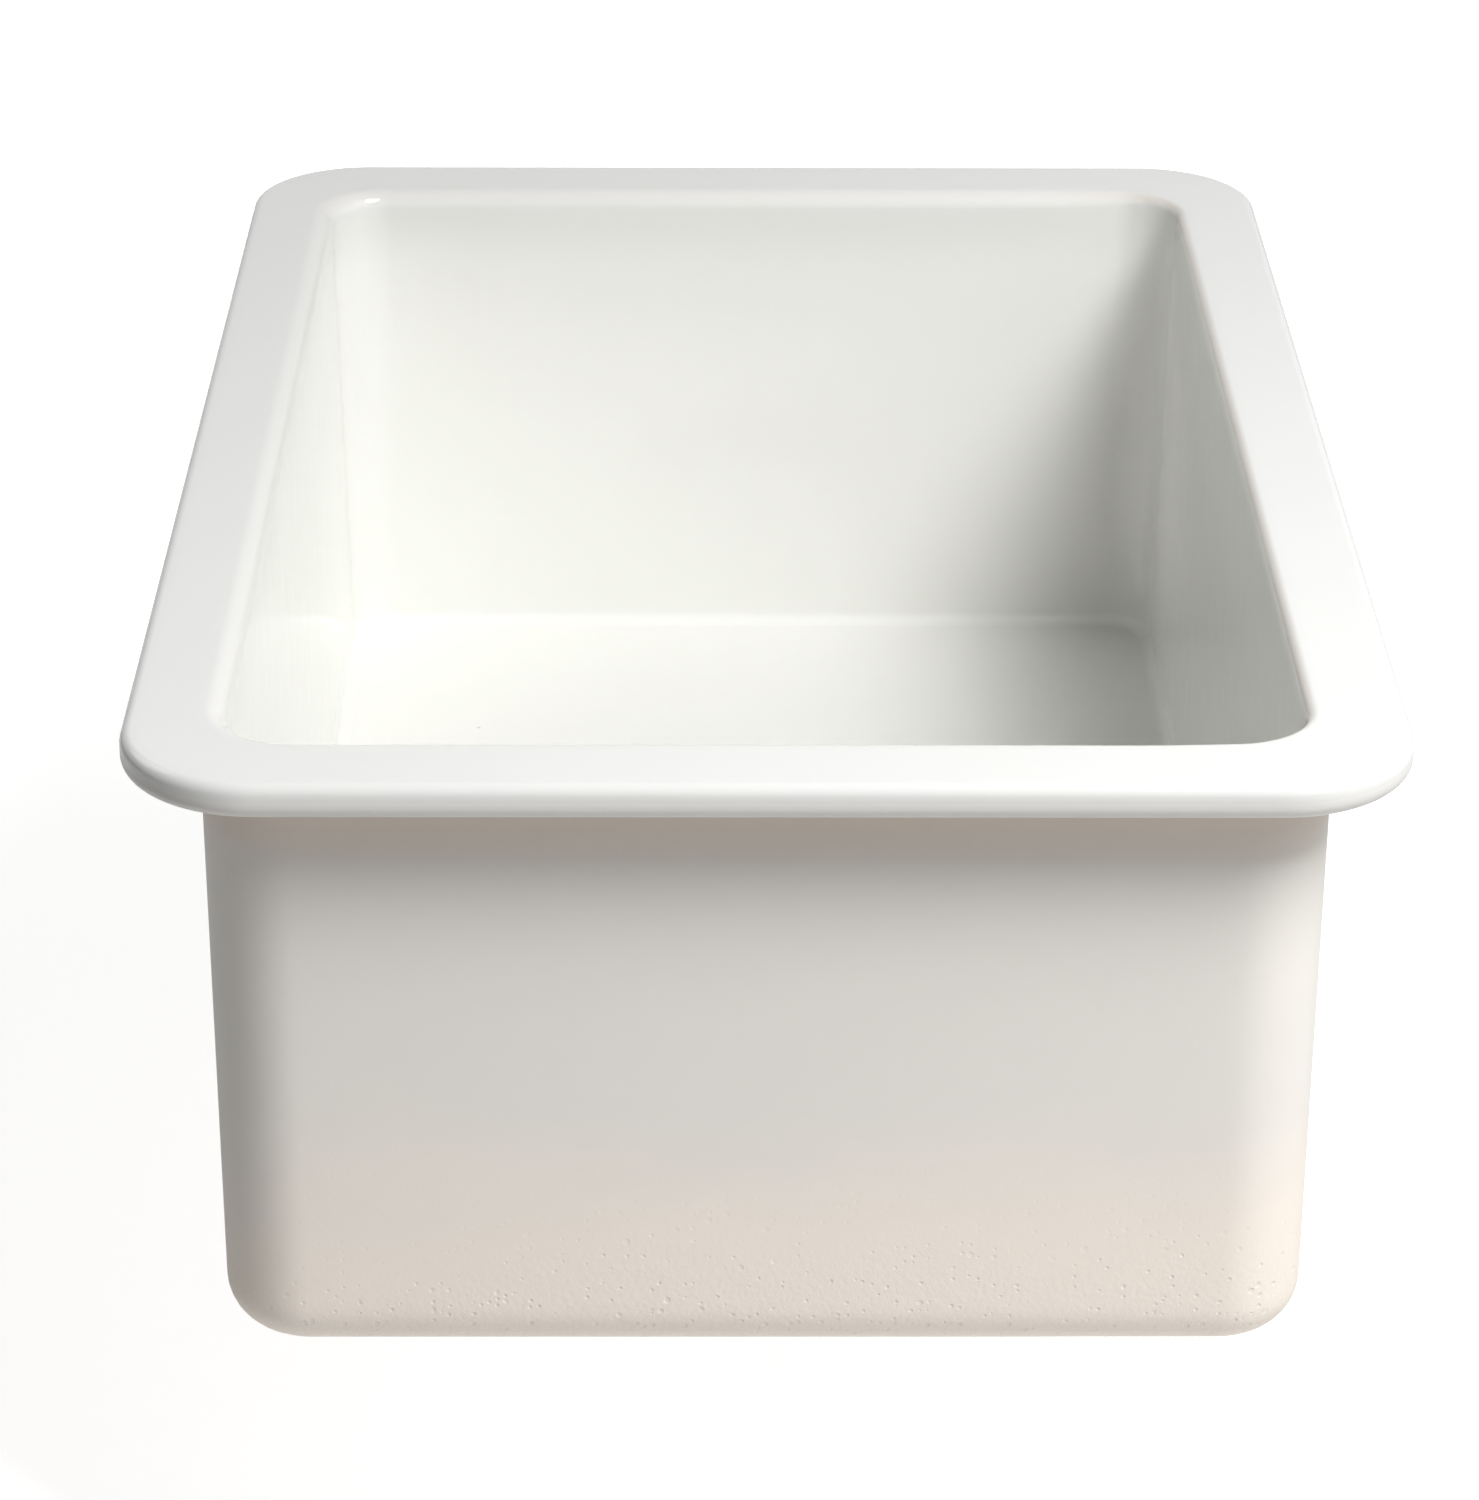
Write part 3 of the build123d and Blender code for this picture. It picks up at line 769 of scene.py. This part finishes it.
    def rings(self, section: np.ndarray) -> np.ndarray:
        """Carry each row of the section round the bowl.

        A point of a ring is the corner's centre plus the corner's radius turned by the angle; along a
        side the centre slides from one corner to the next while the angle stands still. A circle's
        points lie in the same directions from the middle as the floor's points.

        Args:
            section: the rows of section().

        Returns:
            Places in millimetres, of shape (rows, points round the bowl, 3).
        """
        signs = [(1, -1), (1, 1), (-1, 1), (-1, -1)]
        sides = [self.side_steps, self.end_steps] * 2
        sign_x, sign_y, angle = [], [], []
        for quarter, (x, y) in enumerate(signs):
            turned = np.linspace(quarter - 1, quarter, self.corner_steps + 1) * pi / 2
            along = np.linspace(0, 1, sides[quarter] + 1)[1:-1]
            following = signs[(quarter + 1) % 4]
            sign_x += [np.full(self.corner_steps + 1, float(x)), x + along * (following[0] - x)]
            sign_y += [np.full(self.corner_steps + 1, float(y)), y + along * (following[1] - y)]
            angle += [turned, np.full(len(along), quarter * pi / 2)]
        sign_x, sign_y, angle = (np.concatenate(part)[None, :] for part in (sign_x, sign_y, angle))
        columns = (HALF, HEIGHT, CENTRE_X, CENTRE_Y, CIRCLE)
        half, height, centre_x, centre_y, circle = (section[:, column, None] for column in columns)
        radius = half - centre_x
        square_x = sign_x * centre_x + radius * np.cos(angle)
        square_y = sign_y * centre_y + radius * np.sin(angle)
        floor = int(np.argmax(section[:, CIRCLE] == 0))
        heading = np.arctan2(square_y[floor], square_x[floor])[None, :]
        x = np.where(circle > 0, half * np.cos(heading), square_x)
        y = np.where(circle > 0, half * np.sin(heading), square_y)
        return np.stack([x, y, np.broadcast_to(height, x.shape)], axis=-1)

    def surface(self) -> tuple[np.ndarray, np.ndarray, np.ndarray]:
        """Fill in between the rings in straight, even steps.

        The opening's edge is rolled tighter along the right: the rings of the wide and the tight section
        are mixed by a share that rises smoothly from 0 to 1 with the rim's place across the bowl. The
        break tint grows by the same share: the glaze breaking over the edge, with painted shade along the
        right roll, which turns away from the lamps.

        Returns:
            The places in millimetres, and the glazed and crest values at them.
        """
        section = self.section(self.opening_roll)
        wide = self.rings(section)
        tight = self.rings(self.section(self.right_roll))
        across = wide[int(np.argmax(section[:, HALF])), :, 0] / self.rim_half[0]
        left, right = self.right_band
        share = np.clip((across - left) / (right - left), 0, 1)[:, None]
        share = share * share * (3 - 2 * share)
        rings = wide * (1 - share) + tight * share
        steps = section[:, STEPS].astype(int)
        start = np.repeat(np.arange(len(section)), steps)
        end = (start + 1) % len(section)
        part = np.concatenate([np.arange(n) / n for n in steps])[:, None]
        points = rings[start] * (1 - part[..., None]) + rings[end] * part[..., None]
        marks = section[start] * (1 - part) + section[end] * part
        glazed = marks[:, GLAZED, None] * np.ones(points.shape[1])
        # Full break tint on the right and a left_crest share on the left: painted shade on top of the real
        # break.
        crest = marks[:, CREST, None] * (self.left_crest + (1 - self.left_crest) * share[:, 0])
        return points, glazed, crest

    def build(self, finish: FireclayGlaze) -> bpy.types.Object:
        """Make the bowl in place of its node.

        Args:
            finish: the glaze.

        Returns:
            The bowl.
        """
        points, glazed, crest = self.surface()
        bowl = set_grid("fireclay_bowl", points * MM, close_rows=True, close_columns=True)
        for name, values in (("glazed", glazed), ("crest", crest)):
            attribute = bowl.data.attributes.new(name, "FLOAT", "POINT")
            attribute.data.foreach_set("value", values.astype(np.float32).ravel())
        dress(bowl, finish.build())
        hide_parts("sink_bowl")
        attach(bowl, "sink")
        log.info("bowl: %d faces", len(bowl.data.polygons))
        return bowl


@dataclass(frozen=True)
class ScrewThread:
    """One helical ridge on the plain wall of a threaded node, where it shows."""

    name: str
    slot: str
    radius: float
    low: float
    high: float
    pitch: float = 2.2
    rise: float = 0.55
    sunk: float = 0.3
    crest_share: float = 0.3
    fade_turns: float = 0.3
    least_fade: float = 0.02
    turn_steps: int = 72

    def build(self, material: bpy.types.Material) -> bpy.types.Object:
        """Make the ridge.

        A point of the ridge is the profile's radius turned by the angle, raised by the pitch for each
        turn. The profile is a trapezium whose foot is sunk in the wall, and its rise fades to the wall
        at both ends.

        Args:
            material: the finish of the node that carries the thread.

        Returns:
            The ridge.
        """
        turns = (self.high - self.low - self.pitch) / self.pitch
        angle = np.linspace(0, 2 * pi * turns, int(turns * self.turn_steps) + 2)[:, None]
        ends = np.minimum(angle, angle[::-1]) / (2 * pi * self.fade_turns)
        fade = np.clip(ends, self.least_fade, 1)
        flank, crest = self.pitch / 2, self.pitch * self.crest_share / 2
        across = np.array([-flank, -crest, crest, flank])[None, :]
        reach = np.array([-self.sunk, self.rise, self.rise, -self.sunk])[None, :]
        radius = self.radius + np.where(reach > 0, reach * fade, reach)
        height = self.low + self.pitch / 2 + angle / (2 * pi) * self.pitch + across
        points = np.stack([radius * np.cos(angle), radius * np.sin(angle), height], axis=-1)
        ridge = set_grid(self.name, points * MM, close_rows=False, close_columns=True, capped=True)
        ridge.data.polygons.foreach_set("use_smooth", np.zeros(len(ridge.data.polygons), bool))
        dress(ridge, material)
        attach(ridge, "sink")
        log.info("%s: %.1f turns", self.name, turns)
        return ridge


@dataclass
class Waste:
    """The basket strainer waste: nodes that keep their shape and get their finish."""

    palette: Palette
    shank_thread: ScrewThread = ScrewThread("shank_thread", "strainer_steel",
                                            radius=44.0, low=-272.0, high=-268.4)
    nipple_thread: ScrewThread = ScrewThread("nipple_thread", "cast_metal",
                                             radius=23.75, low=-290.2, high=-280.3)

    def build(self) -> None:
        """Dress every node of the waste and cut the threads that show."""
        look = self.palette
        finishes = {
            look.strainer: ["strainer_body"],
            look.basket: ["basket", "stem", "stopper_plate"],
            look.chrome: ["coupling_nut", "tailpiece", "lift_knob"],
            look.brass: ["outlet_nipple", "guide_bush", "guide_nut"],
            look.cast: ["locknut"],
            look.spring: ["grip_clip", "retaining_ring"],
            look.rubber: ["base_gasket", "stopper"],
            look.putty: ["flange_putty"],
            look.fibre: ["friction_washer"],
            look.seal: ["tailpiece_washer"],
        }
        materials = {}
        for finish, nodes in finishes.items():
            materials[finish] = finish.build()
            for node in nodes:
                dress(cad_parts[node], materials[finish])
            log.info("%s: %s", finish.name, ", ".join(nodes))
        self.shank_thread.build(materials[look.strainer])
        self.nipple_thread.build(materials[look.brass])


@dataclass(frozen=True)
class Lamp:
    """A square softbox that faces the middle of the bowl.

    Its bearing is counted in degrees from the front towards the right, and its rise above the table.
    One that isn't mirrored lights without showing in gloss.
    """

    name: str
    bearing: float
    rise: float
    side: float
    power: float
    distance: float = 2.4
    mirrored: bool = True
    aim: tuple[float, float, float] = (0.0, 0.0, -0.1)

    def build(self) -> bpy.types.Object:
        """Make the lamp, facing its aim.

        Returns:
            The lamp.
        """
        bearing, rise = radians(self.bearing), radians(self.rise)
        out = Vector((sin(bearing) * cos(rise), -cos(bearing) * cos(rise), sin(rise)))
        data = bpy.data.lights.new(self.name, "AREA")
        data.shape = "SQUARE"
        data.size = self.side
        data.energy = self.power
        lamp = bpy.data.objects.new(self.name, data)
        lamp.location = Vector(self.aim) + out * self.distance
        lamp.rotation_euler = out.to_track_quat("Z", "Y").to_euler()
        lamp.visible_glossy = self.mirrored
        bpy.context.scene.collection.objects.link(lamp)
        return lamp


@dataclass
class Studio:
    """The photograph's camera, its soft lamps, a white surround and a pale floor.

    The focal length is in pixels of a frame of the given height, and the angles are in degrees. Each
    lift is a pair: what is added to the floor in the middle, and far out.
    """

    frame_side: float = 1500.0
    sensor: float = 36.0
    focal: float = 4932.05
    yaw: float = 0.4176
    pitch: float = 25.2409
    roll: float = 0.2305
    place: tuple[float, float, float] = (-0.021566, -1.889149, 0.744847)
    clip: Band = (0.05, 60.0)
    ambient: float = 0.03
    floor_colour: Colour = (0.9, 0.9, 0.895)
    floor_drift: Colour = (0.85, 0.85, 0.845)
    floor_drift_share: float = 0.1
    floor_lift: Band = (0.75, 1.0)
    mirrored_lift: Band = (0.15, 0.5)
    floor_fade: Band = (0.5, 1.4)
    floor_reach: float = 14.0
    floor_gap: float = 0.0002
    lamps: tuple[Lamp, ...] = (
        Lamp("key", bearing=38.0, rise=50.0, side=0.8, power=45.0, distance=2.1),
        Lamp("right_fill", bearing=70.0, rise=40.0, side=1.0, power=5.0, distance=1.6),
        Lamp("back_fill", bearing=-115.0, rise=40.0, side=1.2, power=6.0),
        Lamp("rear_fill", bearing=-165.0, rise=8.0, side=1.2, power=22.0, distance=3.0, mirrored=False),
    )

    def camera(self) -> None:
        """Place the camera: looking down by the pitch, turned by the yaw, then rolled about its view."""
        yaw, pitch, roll = (radians(a) for a in (self.yaw, self.pitch, self.roll))
        ahead = Vector((sin(yaw) * cos(pitch), cos(yaw) * cos(pitch), -sin(pitch)))
        right = Vector((cos(yaw), -sin(yaw), 0.0))
        up = right.cross(ahead)
        rolled_right = cos(roll) * right + sin(roll) * up
        rolled_up = cos(roll) * up - sin(roll) * right
        data = bpy.data.cameras.new("camera")
        data.sensor_width = self.sensor
        data.lens = self.focal / self.frame_side * self.sensor
        data.clip_start, data.clip_end = self.clip
        camera = bpy.data.objects.new("camera", data)
        turn = Matrix((rolled_right, rolled_up, -ahead)).transposed()
        camera.matrix_world = Matrix.Translation(self.place) @ turn.to_4x4()
        bpy.context.scene.collection.objects.link(camera)
        bpy.context.scene.camera = camera

    def surround(self) -> None:
        """Light the scene evenly, and show pure white to the camera and in reflections."""
        world = bpy.data.worlds.new("surround")
        bpy.context.scene.world = world
        world.use_nodes = True
        graph = Graph(world.node_tree)
        world.node_tree.nodes.clear()
        _, seen = graph.sight()
        strength = graph.blend(seen, self.ambient, 1.0)
        light = graph.node("ShaderNodeBackground", {"Color": WHITE, "Strength": strength})
        out = graph.node("ShaderNodeOutputWorld")
        graph.feed(out.inputs["Surface"], light.outputs[0])

    def floor(self) -> None:
        """Lay a pale floor at the object's lowest point, lifted to white but for the object's shadow.

        The lift grows with the distance from the middle, so that the floor meets the surround in white.
        Reflections get less of it, so that the floor is about white in them too.
        """
        material = bpy.data.materials.new("pale_floor")
        material.use_nodes = True
        graph = Graph(material.node_tree)
        material.node_tree.nodes.clear()
        direct, seen = graph.sight()
        flat = graph.stretch(graph.place(), (1.0, 1.0, 0.0))
        spread = graph.node("ShaderNodeVectorMath", {0: flat}, operation="LENGTH").outputs["Value"]
        near, far = (graph.blend(direct, *pair) for pair in zip(self.mirrored_lift, self.floor_lift))
        lift = graph.math("MULTIPLY", seen, graph.ramp(spread, *self.floor_fade, near, far))
        drift = graph.math("MULTIPLY", graph.noise(graph.place(), scale=2.0), self.floor_drift_share)
        pale = graph.mix(drift, opaque(self.floor_colour), opaque(self.floor_drift))
        matte = graph.node("ShaderNodeBsdfDiffuse", {"Color": pale})
        glow = graph.node("ShaderNodeEmission", {"Color": WHITE, "Strength": lift})
        both = graph.node("ShaderNodeAddShader", {0: matte.outputs[0], 1: glow.outputs[0]})
        out = graph.node("ShaderNodeOutputMaterial")
        graph.feed(out.inputs["Surface"], both.outputs[0])
        ends = np.array([-self.floor_reach, self.floor_reach])
        x, y = np.meshgrid(ends, ends, indexing="ij")
        corners = np.stack([x, y, np.full_like(x, CAD_BOX[0].z - self.floor_gap)], axis=-1)
        floor = set_grid("floor", corners, close_rows=False, close_columns=False)
        dress(floor, material)

    def build(self) -> None:
        """Set up the camera, the surround, the floor, the lamps and the plain view transform."""
        bpy.context.scene.view_settings.view_transform = "Standard"
        self.camera()
        self.surround()
        self.floor()
        for lamp in self.lamps:
            lamp.build()
            log.info("%s: %.0f watts", lamp.name, lamp.power)


def main() -> None:
    """Build the studio, the bowl and the waste."""
    logging.basicConfig(level=logging.INFO, format="%(message)s")
    palette = Palette()
    Studio().build()
    FireclayBowl().build(palette.glaze)
    Waste(palette).build()


if __name__ == "__main__":
    main()
